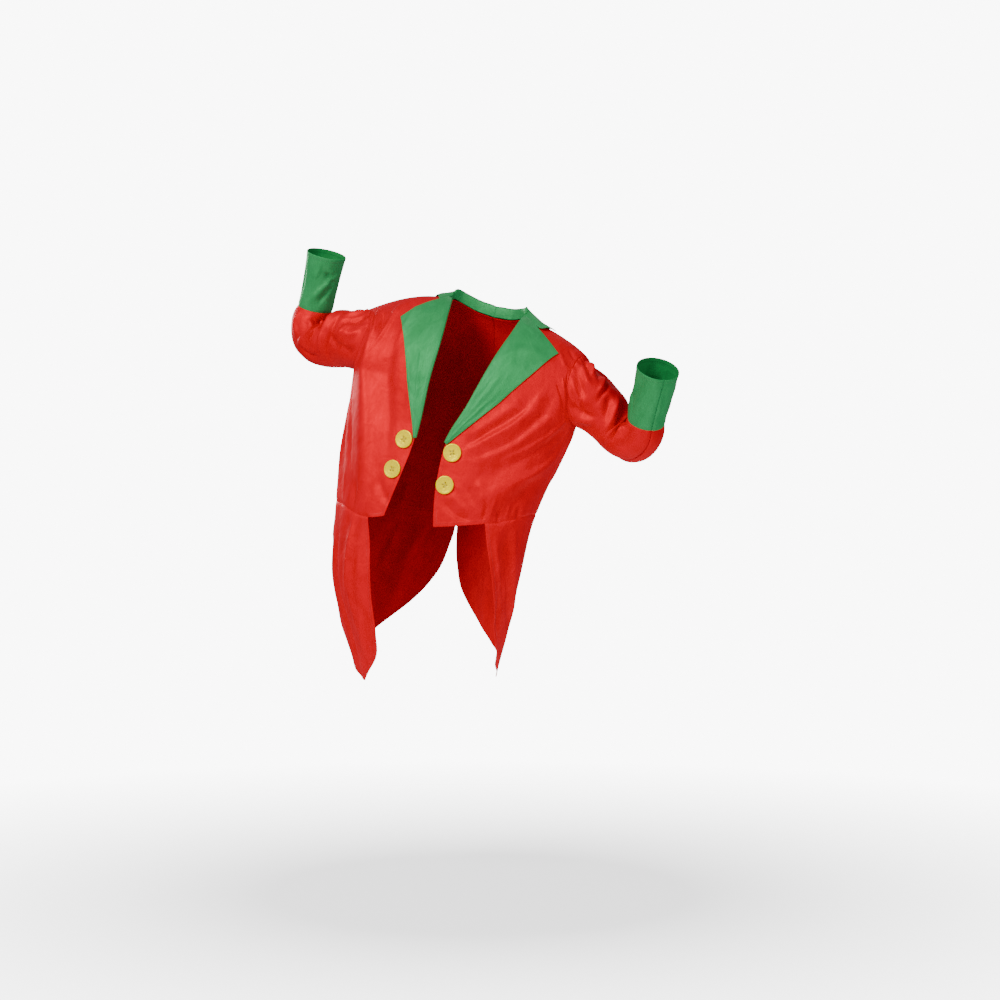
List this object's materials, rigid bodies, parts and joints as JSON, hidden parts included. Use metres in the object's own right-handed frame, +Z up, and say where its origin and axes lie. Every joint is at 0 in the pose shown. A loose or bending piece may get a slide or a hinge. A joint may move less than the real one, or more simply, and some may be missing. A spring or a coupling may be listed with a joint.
{
  "type": "clown tailcoat",
  "caption": "Red satin clown tailcoat with notched green lapels, collar and cuffs, large yellow buttons and pointed tails, worn open by an unseen dancer.",
  "frame": {"origin": "middle of the neck opening at the height of the shoulder seams, where the coat is worn", "axes": "+Z up; the wearer faces -Y, turned 20 degrees to -X; +X is the wearer's left"},
  "size_m": [0.9297, 0.5392, 1.0537],
  "materials": {
    "red_satin": "bright red polyester satin with a soft sheen",
    "green_satin": "green polyester satin with a soft sheen",
    "yellow_button": "moulded yellow plastic"
  },
  "bodies": {
    "root": {"front_left": "red_satin", "back_left": "red_satin", "tail_left": "red_satin", "sleeve_left": "red_satin", "cuff_left": "green_satin", "lapel_left": "green_satin", "collar_left": "green_satin", "front_right": "red_satin", "back_right": "red_satin", "tail_right": "red_satin", "sleeve_right": "red_satin", "cuff_right": "green_satin", "lapel_right": "green_satin", "collar_right": "green_satin", "button_left_upper": "yellow_button", "button_left_lower": "yellow_button", "button_right_upper": "yellow_button", "button_right_lower": "yellow_button"}
  },
  "joints": []
}
